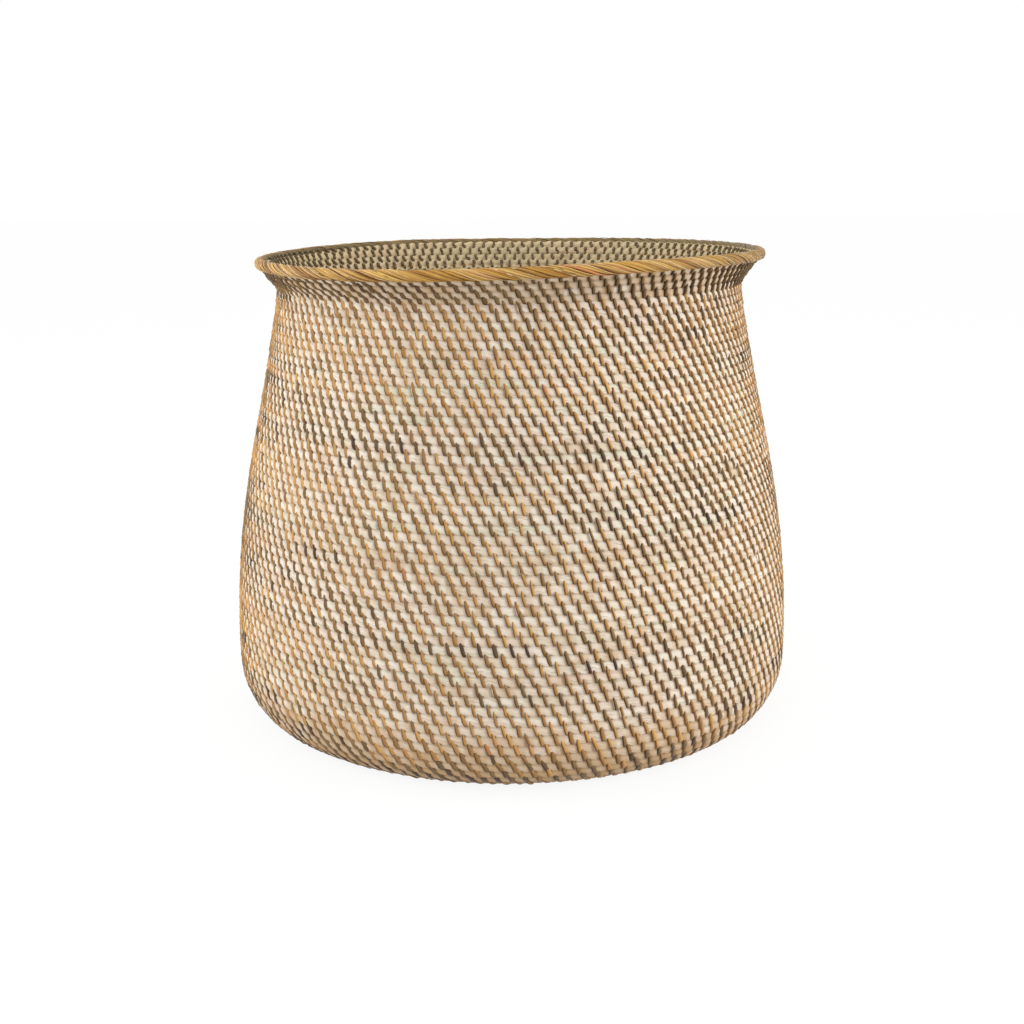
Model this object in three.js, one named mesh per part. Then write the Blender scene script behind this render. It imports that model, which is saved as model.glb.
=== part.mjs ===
// A round floor basket of coiled rattan, in millimetres. It stands on z = 0 and its axis is Z.
// One coil of rods starts at a knot in the middle of the base, turns up at the heel, climbs the
// wall, which is drawn in towards the neck, and ends in a flared collar. A hoop lies on the last
// course, and a sleeve of cane is wrapped round it as the rim.
import * as THREE from "three";

// Outline of the coil's centre line, as radii from the axis and heights above the floor
const baseRadius = 216; // the flat base ends here and the heel begins
const bellyRadius = 246; // widest course
const bellyHeight = 52.5;
const heelRunOut = 13.5; // how straight the heel leaves the base
const heelRunUp = 29; // how straight it meets the belly
const bellyRise = 144; // how straight the wall leaves the belly
const neckRadius = 198.3;
const neckHeight = 376.5;
const neckLean = THREE.MathUtils.degToRad(8.2); // the wall leans in by this where it meets the neck
const neckRun = 114;
const collarRadius = 216.9;
const collarRise = 26.9; // from the neck to the end of the coil
const collarFlare = THREE.MathUtils.degToRad(46); // the collar leans out by this at the rim
const collarRunUp = 8;
const collarRunOut = 12;

// Rods of the coil
const rodDepth = 8; // thickness through the wall
const baseCourse = 8.9; // width of a course in the middle of the base
const rimCourse = 6.8; // width of the last course, because the rods get thinner on the way up
const baseRods = 5; // spliced end to end, about 3 m each
const wallRods = 24;
const collarRods = 2;
const spliceLength = 24; // slanted cut where one rod meets the next
const gap = 0.3; // between pieces that lie on each other
const knotRadius = 3.85; // the knot of cane that the first rod curls round
const tipWidth = 1.2; // the first rod starts as a sliver of this width
const endTaper = 0.2; // the last rod is shaved away over this share of a turn
const endAngle = Math.PI; // where the coil ends, seen from above

// Rim
const hoopRadius = 2.6;
const sleeveRadius = 4.8;
const sleeveSlit = THREE.MathUtils.degToRad(42); // half of the slit that straddles the last course

// Facets
const coarseStations = 10; // around the small turns in the middle of the base
const stations = 2 * coarseStations; // around every other turn
const coarseTurns = 3;
const sleeveFacets = 7; // outside of the sleeve, and one fewer inside it

const caneColour = 0xe4d8be;
const baseColour = 0xd9caa8;
const knotColour = 0xb98a45;
const rimColour = 0xc98d3a;

function point(radius, height) {
  return new THREE.Vector2(radius, height);
}

// The outline from the axis to the rim, measured along its length
function makeOutline() {
  const floor = rodDepth / 2;
  const neck = point(neckRadius, neckHeight);
  const lean = point(-Math.sin(neckLean), Math.cos(neckLean));
  const collar = point(collarRadius, neckHeight + collarRise);
  const flare = point(Math.sin(collarFlare), Math.cos(collarFlare));
  const outline = new THREE.CurvePath();
  outline.add(new THREE.LineCurve(point(0, floor), point(baseRadius, floor)));
  outline.add(
    new THREE.CubicBezierCurve(
      point(baseRadius, floor),
      point(baseRadius + heelRunOut, floor),
      point(bellyRadius, bellyHeight - heelRunUp),
      point(bellyRadius, bellyHeight),
    ),
  );
  outline.add(
    new THREE.CubicBezierCurve(
      point(bellyRadius, bellyHeight),
      point(bellyRadius, bellyHeight + bellyRise),
      neck.clone().addScaledVector(lean, -neckRun),
      neck,
    ),
  );
  outline.add(
    new THREE.CubicBezierCurve(
      neck,
      neck.clone().addScaledVector(lean, collarRunUp),
      collar.clone().addScaledVector(flare, -collarRunOut),
      collar,
    ),
  );
  return outline;
}

const outline = makeOutline();
const [baseEnd, , wallEnd, outlineLength] = outline.getCurveLengths();
const turns = (2 * outlineLength) / (baseCourse + rimCourse);
const lastTurn = turns - 0.5; // the middle of the last course, where the coil ends

// Distance along the outline after a number of turns, each a little narrower than the one before
function reach(turn) {
  return baseCourse * turn - ((baseCourse - rimCourse) * turn * turn) / (2 * turns);
}

// The outline's point at a distance along it, with the direction to the rim and the way out of the wall
function onOutline(distance) {
  const share = THREE.MathUtils.clamp(distance / outlineLength, 0, 1);
  const along = outline.getTangent(share);
  const at = outline.getPoint(share).addScaledVector(along, distance - share * outlineLength);
  return { at, along, out: point(along.y, -along.x) };
}

// A point of a radial plane, placed around the axis
function around(flat, angle) {
  return new THREE.Vector3(flat.x * Math.cos(angle), flat.x * Math.sin(angle), flat.y);
}

function angleAt(turn) {
  return endAngle + 2 * Math.PI * (turn - lastTurn);
}

// The coil's upper edge, which sinks to the course below where the last rod is shaved away
function upperEdge(turn) {
  const left = THREE.MathUtils.smoothstep(lastTurn - turn, 0, endTaper);
  return THREE.MathUtils.lerp(reach(turn - 0.5), reach(turn + 0.5), left);
}

function lowerEdge(turn) {
  return Math.max(reach(turn - 0.5), knotRadius + gap / 2);
}

// A rod's section: flat outside and on the floor, bevelled to its neighbours, ridged inside
function rodSection(turn) {
  const low = lowerEdge(turn) + gap / 2;
  const high = upperEdge(turn) - gap / 2;
  const middle = (low + high) / 2;
  const half = (high - low) / 2;
  const fullWidth = reach(turn + 0.5) - reach(turn - 0.5) - gap;
  const depth = (rodDepth * half) / fullWidth; // a tip gets thinner as it gets narrower
  const place = (distance, outward) => {
    const { at, out } = onOutline(distance);
    return around(at.addScaledVector(out, outward), angleAt(turn));
  };
  return [
    place(low, 0),
    place(middle - half / 2, depth),
    place(middle + half / 2, depth),
    place(high, 0),
    place(middle, -depth),
  ];
}

// How far across the rod each corner of that section lies, from -1 to 1, for the slant of a splice
const acrossRod = [-1, -0.5, 0.5, 1, 0];

// A closed solid through rings of points, with an end face at each end unless it closes on itself
function loft(rings, isLoop = false) {
  const size = rings[0].length;
  const position = rings.flat().flatMap((corner) => corner.toArray());
  const index = [];
  const spans = isLoop ? rings.length : rings.length - 1;
  for (let ring = 0; ring < spans; ring += 1) {
    const near = ring * size;
    const far = ((ring + 1) % rings.length) * size;
    for (let side = 0; side < size; side += 1) {
      const next = (side + 1) % size;
      index.push(near + side, far + next, near + next);
      index.push(near + side, far + side, far + next);
    }
  }
  const last = (rings.length - 1) * size;
  for (let side = 1; side < size - 1 && !isLoop; side += 1) {
    index.push(0, side, side + 1);
    index.push(last, last + side + 1, last + side);
  }
  const geometry = new THREE.BufferGeometry();
  geometry.setAttribute("position", new THREE.Float32BufferAttribute(position, 3));
  geometry.setIndex(index);
  geometry.computeVertexNormals();
  return geometry;
}

function piece(name, geometry, colour) {
  const material = new THREE.MeshStandardMaterial({ color: colour, roughness: 0.7, metalness: 0 });
  const mesh = new THREE.Mesh(geometry, material);
  mesh.name = name;
  return mesh;
}

// Every station of the coil, from the sliver at the knot to the shaved end
function coilStations() {
  const list = [];
  for (let step = 1; ; step += 1) {
    const turn = lastTurn - step / stations;
    if (reach(turn + 0.5) < knotRadius + gap + tipWidth) {
      return list.reverse();
    }
    if (turn > coarseTurns || step % 2 === 0) {
      list.push({ turn, section: rodSection(turn) });
    }
  }
}

// The ring where a rod is cut between two stations, slanted across it
function spliceRing(from, to, side) {
  const chord = from.section[0].distanceTo(to.section[0]);
  const slant = Math.min(spliceLength / chord, 0.8) / 2;
  const rodWidth = from.section[0].distanceTo(from.section[3]);
  const clear = (gap * Math.hypot(1, spliceLength / rodWidth)) / (2 * chord);
  return from.section.map((corner, index) =>
    corner.clone().lerp(to.section[index], 0.5 + slant * acrossRod[index] + side * clear),
  );
}

// Cuts one stretch of the coil into rods of equal length, and gives the last station of each
function cutRods(coil, first, last, count) {
  const lengths = [0];
  for (let index = first; index < last; index += 1) {
    const chord = coil[index].section[0].distanceTo(coil[index + 1].section[0]);
    lengths.push(lengths.at(-1) + chord);
  }
  const cuts = [];
  for (let rod = 1; rod < count; rod += 1) {
    cuts.push(first + lengths.findIndex((length) => length > (rod * lengths.at(-1)) / count));
  }
  return [...cuts, last];
}

function makeCoil() {
  const coil = coilStations();
  const stretches = [
    { name: "base_rod", rods: baseRods, until: baseEnd, colour: baseColour },
    { name: "wall_rod", rods: wallRods, until: wallEnd, colour: caneColour },
    { name: "collar_rod", rods: collarRods, until: outlineLength, colour: caneColour },
  ];
  const group = new THREE.Group();
  let first = 0;
  for (const stretch of stretches) {
    const past = coil.findIndex((station) => reach(station.turn) > stretch.until);
    const last = past < 0 || stretch.name === "collar_rod" ? coil.length - 1 : past;
    const cuts = cutRods(coil, first, last, stretch.rods);
    for (const [order, cut] of cuts.entries()) {
      const rings = coil.slice(first, cut + 1).map((station) => station.section);
      if (first > 0) {
        rings.unshift(spliceRing(coil[first - 1], coil[first], 1));
      }
      if (cut < coil.length - 1) {
        rings.push(spliceRing(coil[cut], coil[cut + 1], -1));
      }
      const digits = String(cuts.length).length;
      const name = `${stretch.name}_${String(order + 1).padStart(digits, "0")}`;
      group.add(piece(name, loft(rings), stretch.colour));
      first = cut + 1;
    }
  }
  return group;
}

// The hoop's centre, seated on the coil's upper edge
function hoopCentre(turn) {
  const seat = onOutline(upperEdge(turn));
  const centre = seat.at.addScaledVector(seat.along, hoopRadius + gap);
  return { centre, along: seat.along, out: seat.out };
}

function rimRing(turn, spots) {
  const { centre, along, out } = hoopCentre(turn);
  return spots.map(({ radius, angle }) => {
    const spot = centre
      .clone()
      .addScaledVector(along, -radius * Math.cos(angle))
      .addScaledVector(out, radius * Math.sin(angle));
    return around(spot, angleAt(turn));
  });
}

// A closed ring of the given section, laid along the coil's upper edge for one turn
function rimLoop(spots) {
  const rings = [];
  for (let step = 0; step < stations; step += 1) {
    rings.push(rimRing(lastTurn - 1 + step / stations, spots));
  }
  return loft(rings, true);
}

function makeHoop() {
  const spots = [];
  for (let side = 0; side < 6; side += 1) {
    spots.push({ radius: hoopRadius, angle: (side * Math.PI) / 3 });
  }
  return piece("rim_hoop", rimLoop(spots), caneColour);
}

// The sleeve is a C in section, open towards the last course
function makeSleeve() {
  const spots = [];
  const sweep = 2 * (Math.PI - sleeveSlit);
  for (let facet = 0; facet <= sleeveFacets; facet += 1) {
    const angle = sleeveSlit + (sweep * facet) / sleeveFacets;
    spots.push({ radius: sleeveRadius, angle });
  }
  const innerFacets = sleeveFacets - 1;
  const clear = (hoopRadius + gap) / Math.cos(sweep / innerFacets / 2);
  for (let facet = innerFacets; facet >= 0; facet -= 1) {
    const angle = sleeveSlit + (sweep * facet) / innerFacets;
    spots.push({ radius: clear, angle });
  }
  return piece("rim_sleeve", rimLoop(spots), rimColour);
}

// The knot fills the eye of the coil, level with the rods round it
function makeKnot() {
  const geometry = new THREE.CylinderGeometry(knotRadius, knotRadius, rodDepth, coarseStations);
  geometry.rotateX(Math.PI / 2);
  geometry.rotateZ(Math.PI / 2);
  geometry.translate(0, 0, rodDepth / 2);
  return piece("start_knot", geometry, knotColour);
}

const basket = new THREE.Group();
basket.add(makeKnot(), makeCoil(), makeHoop(), makeSleeve());

export default basket;
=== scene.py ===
# A round floor basket of coiled rattan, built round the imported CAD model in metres.
# The coil's rods, the cane stitches that bind them, the cane wrapped round the rim and the knot
# in the middle of the base stand for the CAD nodes. The basket has one body and nothing moves.
import math

import bpy
import numpy as np
from mathutils import Matrix, Vector


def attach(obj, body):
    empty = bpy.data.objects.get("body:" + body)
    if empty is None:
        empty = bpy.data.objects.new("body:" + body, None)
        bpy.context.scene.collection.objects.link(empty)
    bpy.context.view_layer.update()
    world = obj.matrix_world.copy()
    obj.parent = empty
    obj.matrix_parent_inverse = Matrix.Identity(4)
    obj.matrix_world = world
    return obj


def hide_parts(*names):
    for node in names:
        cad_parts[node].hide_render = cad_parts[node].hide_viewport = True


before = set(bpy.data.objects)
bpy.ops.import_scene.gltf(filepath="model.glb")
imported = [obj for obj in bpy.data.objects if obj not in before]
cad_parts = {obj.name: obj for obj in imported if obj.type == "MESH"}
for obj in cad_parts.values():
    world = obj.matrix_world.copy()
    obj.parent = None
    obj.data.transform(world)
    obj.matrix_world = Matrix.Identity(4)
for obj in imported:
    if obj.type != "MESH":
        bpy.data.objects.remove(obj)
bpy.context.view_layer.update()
print("frame loaded:", len(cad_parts), "CAD nodes")


# The coil's centre line as an outline, in radii from the axis and heights above the floor

outline = {
    "floor": 0.0046,           # half a rod and the stitches under it
    "baseRadius": 0.216,
    "bellyRadius": 0.246,
    "bellyHeight": 0.0525,
    "heelRunOut": 0.0135,
    "heelRunUp": 0.029,
    "bellyRise": 0.144,
    "neckRadius": 0.1983,
    "neckHeight": 0.3765,
    "neckLean": math.radians(8.2),
    "neckRun": 0.114,
    "collarRadius": 0.2169,
    "collarRise": 0.0269,
    "collarFlare": math.radians(46),
    "collarRunUp": 0.008,
    "collarRunOut": 0.012,
    "basePoints": 200,
    "curvePoints": 600,
    "tangentStep": 0.0004,
}

coil = {
    "rodDepth": 0.0078,        # through the wall
    "baseCourse": 0.0089,      # width of a course in the middle of the base
    "rimCourse": 0.0068,       # width of the last course
    "gap": 0.0003,
    "knotRadius": 0.00385,
    "tipWidth": 0.0012,
    "endTaper": 0.2,           # share of a turn over which the last rod is shaved away
    "endMargin": 0.004,        # and the share of a turn that is cut off there
    "endAngle": math.pi,
    "leastTaper": 0.02,
    "stitchesPerTurn": 130.44,
    "drifts": [(0.1, 5, 0.11), (0.07, 9, -0.17)],      # in stitches, with waves a turn and their slant
    "tablePoints": 60000,
    "ringsPerStitch": 5,
    "ringsPerBaseStitch": 4,
    "sides": 8,
    "fullness": 1.5,           # the rods are pressed into each other by this much
    "grainStep": 3.7,          # how far apart in the noise the grain of two rods is taken
    "seed": 11,
}

lip = {                        # the last course stands inside the rim's roll, most at the back
    "inward": 0.0021,
    "mean": 0.65,
    "swing": 0.35,
    "start": 1.9,              # in turns before the coil's end
    "run": 0.8,
    "stitchHeights": (0.62, 0.2),      # from here on a stitch leans as the course above does
}

rimWaves = {                   # the rim is neither level nor quite round
    "heights": [               # each wave with the size of its cosine and its sine
        (0, -0.001, 0.0),
        (1, 0.0019, -0.0001),
        (2, 0.0005, -0.00083),
        (3, -0.00051, 0.00013),
        (4, -0.00012, 0.00017),
    ],
    "radii": [(0, 0.0012, 0.0), (1, -0.0006, 0.0)],
    "below": 0.012,            # how far below the collar they begin
}


def bezier(a, b, c, d):
    t = np.linspace(0, 1, outline["curvePoints"])[:, None]
    a, b, c, d = (np.array(p) for p in (a, b, c, d))
    return a * (1 - t) ** 3 + 3 * b * t * (1 - t) ** 2 + 3 * c * t ** 2 * (1 - t) + d * t ** 3


def makeOutline(o):
    lean = np.array((-math.sin(o["neckLean"]), math.cos(o["neckLean"])))
    flare = np.array((math.sin(o["collarFlare"]), math.cos(o["collarFlare"])))
    heel = np.array((o["baseRadius"], o["floor"]))
    belly = np.array((o["bellyRadius"], o["bellyHeight"]))
    neck = np.array((o["neckRadius"], o["neckHeight"]))
    collar = np.array((o["collarRadius"], o["neckHeight"] + o["collarRise"]))
    out, up = np.array((1, 0)), np.array((0, 1))
    parts = [
        np.linspace((0, o["floor"]), heel, o["basePoints"]),
        bezier(heel, heel + out * o["heelRunOut"], belly - up * o["heelRunUp"], belly),
        bezier(belly, belly + up * o["bellyRise"], neck - lean * o["neckRun"], neck),
        bezier(neck, neck + lean * o["collarRunUp"], collar - flare * o["collarRunOut"], collar),
    ]
    points = np.concatenate([parts[0]] + [part[1:] for part in parts[1:]])
    distance = np.concatenate([[0], np.cumsum(np.linalg.norm(np.diff(points, axis=0), axis=1))])
    ends = distance[np.cumsum([len(parts[0])] + [len(part) - 1 for part in parts[1:]]) - 1]
    return points, distance, ends


outlinePoints, outlineDistance, outlineEnds = makeOutline(outline)
baseEnd, wallEnd, outlineLength = outlineEnds[[0, 2, 3]]
turns = 2 * outlineLength / (coil["baseCourse"] + coil["rimCourse"])
lastTurn = turns - 0.5


def reach(turn):  # distance along the outline after a number of turns
    narrowing = (coil["baseCourse"] - coil["rimCourse"]) / (2 * turns)
    return coil["baseCourse"] * turn - narrowing * turn * turn


def courseAt(turn):
    return reach(turn + 0.5) - reach(turn - 0.5)


def angleAt(turn):
    return coil["endAngle"] + 2 * math.pi * (turn - lastTurn)


def readOutline(distance):
    inside = np.clip(distance, 0, outlineLength)
    return np.stack([np.interp(inside, outlineDistance, outlinePoints[:, k]) for k in (0, 1)], -1)


def onOutline(distance):  # a point of the outline, the way to the rim and the way out of the wall
    distance = np.asarray(distance, float)
    inside = np.clip(distance, 0, outlineLength)
    along = readOutline(inside + outline["tangentStep"]) - readOutline(inside - outline["tangentStep"])
    along /= np.linalg.norm(along, axis=-1, keepdims=True)
    at = readOutline(inside) + along * (distance - inside)[..., None]
    return at, along, np.stack([along[..., 1], -along[..., 0]], -1)


def around(flat, angle):  # a point or direction of a radial plane, turned round the axis
    return np.stack([flat[..., 0] * np.cos(angle), flat[..., 0] * np.sin(angle), flat[..., 1]], -1)


def smoothStep(value):
    value = np.clip(value, 0, 1)
    return value * value * (3 - 2 * value)


def ease(value, start, run):  # 0 up to the start, and 1 from a run further on
    return smoothStep((value - start) / run)


def upperEdge(turn):
    left = smoothStep((lastTurn - turn) / coil["endTaper"])
    return reach(turn - 0.5) + courseAt(turn) * left


def lowerEdge(turn):
    return np.maximum(reach(turn - 0.5), coil["knotRadius"] + coil["gap"] / 2)


def wave(waves, angle):
    return sum(a * np.cos(k * angle) + b * np.sin(k * angle) for k, a, b in waves)


def placeOnWall(distance, lift, turn):
    # A point of the wall with its way up and its way out, at a distance along the outline
    at, along, out = onOutline(distance)
    angle = angleAt(turn)
    share = ease(distance - wallEnd, -rimWaves["below"], outlineLength - wallEnd)
    bent = np.stack([wave(rimWaves[way], angle) for way in ("radii", "heights")], -1)
    at = at + out * lift[..., None] + bent * share[..., None]
    return around(at, angle), around(along, angle), around(out, angle)


def lipShift(turn, height=0.0):  # how far the wall leans in here, or a stitch at a height in courses
    course = ease(height, *lip["stitchHeights"])
    amount = lip["inward"] * (lip["mean"] + lip["swing"] * np.sin(angleAt(turn)))
    return amount * smoothStep((lip["start"] - (lastTurn - turn - course)) / lip["run"])


# Stitches are counted along the coil: evenly round the wall, and as far apart on the base

turnTable = np.linspace(0, lastTurn, coil["tablePoints"])
radiusTable = onOutline(reach(turnTable))[0][:, 0]
onWall = reach(turnTable) >= baseEnd
rateTable = coil["stitchesPerTurn"] * np.where(onWall, 1, radiusTable / outline["baseRadius"])
countTable = np.concatenate([[0], np.cumsum((rateTable[1:] + rateTable[:-1]) / 2 * np.diff(turnTable))])
for size, waves, slant in coil["drifts"]:
    countTable += size * np.sin(waves * angleAt(turnTable) + slant * turnTable)
lengthTable = np.concatenate([[0], np.cumsum(2 * math.pi * radiusTable[1:] * np.diff(turnTable))])


def stitchCount(turn):
    return np.interp(turn, turnTable, countTable)


def turnOfStitch(count):
    return np.interp(count, countTable, turnTable)


def lengthAt(turn):
    return np.interp(turn, turnTable, lengthTable)


# Geometry Nodes

def socketIn(tree, name, kind, default=None):
    socket = tree.interface.new_socket(name=name, in_out="INPUT", socket_type=kind)
    if default is not None:
        socket.default_value = default
    return socket


class NodeMaker:  # adds nodes to a tree and links their sockets in one call
    def __init__(self, tree):
        self.tree = tree

    def add(self, kind, inputs=None, **settings):
        node = self.tree.nodes.new(kind)
        for name, value in settings.items():
            setattr(node, name, value)
        for key, value in (inputs or {}).items():
            socket = node.inputs[key]
            if isinstance(value, bpy.types.NodeSocket):
                self.tree.links.new(value, socket)
            else:
                socket.default_value = value
        return node

    def math(self, operation, a, b=0.0, c=0.0):
        return self.add("ShaderNodeMath", {0: a, 1: b, 2: c}, operation=operation).outputs[0]

    def vector(self, operation, a, b):
        return self.add("ShaderNodeVectorMath", {0: a, 1: b}, operation=operation).outputs[0]

    def scale(self, a, factor):
        return self.add("ShaderNodeVectorMath", {0: a, "Scale": factor}, operation="SCALE").outputs[0]

    def named(self, name, kind):
        return self.add("GeometryNodeInputNamedAttribute", {"Name": name}, data_type=kind).outputs[0]

    def store(self, geometry, name, value):
        inputs = {"Geometry": geometry, "Name": name, "Value": value}
        node = self.add("GeometryNodeStoreNamedAttribute", inputs, data_type="FLOAT", domain="POINT")
        return node.outputs[0]


def newTree(name):
    tree = bpy.data.node_groups.new(name, "GeometryNodeTree")
    socketIn(tree, "Geometry", "NodeSocketGeometry")
    tree.interface.new_socket(name="Geometry", in_out="OUTPUT", socket_type="NodeSocketGeometry")
    return tree, NodeMaker(tree)


def sweepSpines(maker, source):
    # The spines become curves and are swept with a ring. Each ring point keeps its share of the way
    # round, and its place is then worked out from the spine's own across and outward vectors.
    ring = maker.add("GeometryNodeCurvePrimitiveCircle", {
        "Resolution": source.outputs["Sides"], "Radius": 0.001})
    share = maker.add("GeometryNodeSplineParameter").outputs["Factor"]
    profile = maker.store(ring.outputs["Curve"], "ringShare", share)
    spines = maker.add("GeometryNodeMeshToCurve", {"Mesh": source.outputs["Geometry"]})
    swept = maker.add("GeometryNodeCurveToMesh", {
        "Curve": spines.outputs["Curve"], "Profile Curve": profile, "Fill Caps": True})
    halfStep = maker.math("DIVIDE", math.pi, source.outputs["Sides"])
    angle = maker.math("MULTIPLY_ADD", maker.named("ringShare", "FLOAT"), 2 * math.pi, halfStep)
    mesh = maker.store(swept.outputs["Mesh"], "side", maker.math("COSINE", angle))
    mesh = maker.store(mesh, "outer", maker.math("SINE", angle))
    return mesh, maker.named("side", "FLOAT"), maker.named("outer", "FLOAT")


def finishTree(tree, maker, mesh, source, helpers):
    smooth = maker.add("GeometryNodeSetShadeSmooth", {0: mesh}).outputs[0]
    for name in helpers + ["ringShare"]:
        smooth = maker.add("GeometryNodeRemoveAttribute", {"Geometry": smooth, "Name": name}).outputs[0]
    real = maker.add("GeometryNodeRealizeInstances", {"Geometry": smooth}).outputs[0]
    painted = maker.add("GeometryNodeSetMaterial", {
        "Geometry": real, "Material": source.outputs["Material"]})
    output = tree.nodes.new("NodeGroupOutput")
    tree.links.new(painted.outputs[0], output.inputs["Geometry"])


def makeStripTree():  # strips of cane along their spines
    tree, maker = newTree("caneStrips")
    socketIn(tree, "Sides", "NodeSocketInt", 6)
    socketIn(tree, "Width Scale", "NodeSocketFloat", 1.0)
    socketIn(tree, "Thickness Scale", "NodeSocketFloat", 1.0)
    socketIn(tree, "Material", "NodeSocketMaterial")
    source = tree.nodes.new("NodeGroupInput")
    mesh, side, outer = sweepSpines(maker, source)
    wide = maker.math("MULTIPLY", side, source.outputs["Width Scale"])
    high = maker.math("MULTIPLY", outer, source.outputs["Thickness Scale"])
    across = maker.scale(maker.named("across", "FLOAT_VECTOR"), wide)
    lift = maker.scale(maker.named("outward", "FLOAT_VECTOR"), high)
    place = maker.vector("ADD", maker.named("spine", "FLOAT_VECTOR"), maker.vector("ADD", across, lift))
    moved = maker.add("GeometryNodeSetPosition", {"Geometry": mesh, "Position": place}).outputs[0]
    finishTree(tree, maker, moved, source, ["spine", "across", "outward"])
    return tree


def valley(maker, phase, sharpness):  # 1 where the phase is whole, falling to 0 between
    wave = maker.math("COSINE", maker.math("MULTIPLY", phase, 2 * math.pi))
    return maker.math("POWER", maker.math("MULTIPLY_ADD", wave, 0.5, 0.5), sharpness)


def makeRodTree():  # round rods, pinched where stitches cross them and swollen between
    tree, maker = newTree("rattanRods")
    socketIn(tree, "Sides", "NodeSocketInt", 8)
    socketIn(tree, "Pinch", "NodeSocketFloat", 0.22)
    socketIn(tree, "Lower Pinch", "NodeSocketFloat", 0.10)
    socketIn(tree, "Lean", "NodeSocketFloat", 0.11)
    socketIn(tree, "Sway", "NodeSocketFloat", 0.15)
    socketIn(tree, "Dent Shift", "NodeSocketFloat", 0.08)
    socketIn(tree, "Sharpness", "NodeSocketFloat", 2.0)
    socketIn(tree, "Material", "NodeSocketMaterial")
    source = tree.nodes.new("NodeGroupInput")
    mesh, side, outer = sweepSpines(maker, source)
    shift = maker.math("MULTIPLY", side, source.outputs["Lean"])
    ownPhase = maker.math("ADD", maker.named("ownPhase", "FLOAT"), shift)
    lowerPhase = maker.math("ADD", maker.named("lowerPhase", "FLOAT"), shift)
    mesh = maker.store(mesh, "ownStitch", ownPhase)
    mesh = maker.store(mesh, "lowerStitch", lowerPhase)
    lowSide = maker.math("MAXIMUM", maker.math("MULTIPLY", side, -1.0), 0.0)
    dentPhase = maker.math("ADD", ownPhase, source.outputs["Dent Shift"])
    ownValley = valley(maker, dentPhase, source.outputs["Sharpness"])
    dent = maker.math("MULTIPLY", ownValley, source.outputs["Pinch"])
    lowValley = maker.math("MULTIPLY", valley(maker, lowerPhase, source.outputs["Sharpness"]), lowSide)
    lowDent = maker.math("MULTIPLY", lowValley, source.outputs["Lower Pinch"])
    size = maker.math("SUBTRACT", 1.0, maker.math("ADD", dent, lowDent))
    wave = maker.math("SINE", maker.math("MULTIPLY", maker.named("ownPhase", "FLOAT"), 2 * math.pi))
    swayed = maker.math("MULTIPLY_ADD", wave, source.outputs["Sway"], side)
    across = maker.scale(maker.named("across", "FLOAT_VECTOR"), swayed)
    lift = maker.scale(maker.named("outward", "FLOAT_VECTOR"), maker.math("MULTIPLY", outer, size))
    place = maker.vector("ADD", maker.named("spine", "FLOAT_VECTOR"), maker.vector("ADD", across, lift))
    moved = maker.add("GeometryNodeSetPosition", {"Geometry": mesh, "Position": place}).outputs[0]
    finishTree(tree, maker, moved, source, ["spine", "across", "outward", "ownPhase", "lowerPhase"])
    return tree


def spineObject(name, spines, across, outward, attributes, isLoop=False):
    # spines is strips by points by 3, and every other array goes with its points
    strips, points = spines.shape[:2]
    index = np.arange(strips * points).reshape(strips, points)
    edges = np.stack([index[:, :-1], index[:, 1:]], -1).reshape(-1, 2)
    if isLoop:
        edges = np.concatenate([edges, np.stack([index[:, -1], index[:, 0]], -1)])
    mesh = bpy.data.meshes.new(name)
    mesh.from_pydata(spines.reshape(-1, 3).tolist(), edges.tolist(), [])
    for key, values in {"spine": spines, "across": across, "outward": outward, **attributes}.items():
        isVector = values.ndim == 3
        kind, field = ("FLOAT_VECTOR", "vector") if isVector else ("FLOAT", "value")
        layer = mesh.attributes.new(key, kind, "POINT")
        layer.data.foreach_set(field, np.ascontiguousarray(values, np.float32).ravel())
    piece = bpy.data.objects.new(name, mesh)
    bpy.context.scene.collection.objects.link(piece)
    return piece


def growMesh(piece, tree, inputs):  # runs the tree on the spines and keeps the result as a plain mesh
    modifier = piece.modifiers.new("nodes", "NODES")
    modifier.node_group = tree
    for item in tree.interface.items_tree:
        if item.in_out == "INPUT" and item.name in inputs:
            modifier[item.identifier] = inputs[item.name]
    depsgraph = bpy.context.evaluated_depsgraph_get()
    grown = bpy.data.meshes.new_from_object(
        piece.evaluated_get(depsgraph), preserve_all_data_layers=True, depsgraph=depsgraph)
    grown.name = piece.name
    piece.modifiers.remove(modifier)
    spare = piece.data
    piece.data = grown
    bpy.data.meshes.remove(spare)
    return piece


stripTree = makeStripTree()
rodTree = makeRodTree()
print("node trees made")


# Materials

def srgb(red, green, blue):  # a colour as it looks, for a socket that wants linear light
    def linear(value):
        value /= 255
        return value / 12.92 if value <= 0.04045 else ((value + 0.055) / 1.055) ** 2.4
    return (linear(red), linear(green), linear(blue), 1.0)


fibreNoise = {"detail": 3.0, "roughness": 0.6, "patchScale": 0.22, "patchDetail": 2.0}


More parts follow.
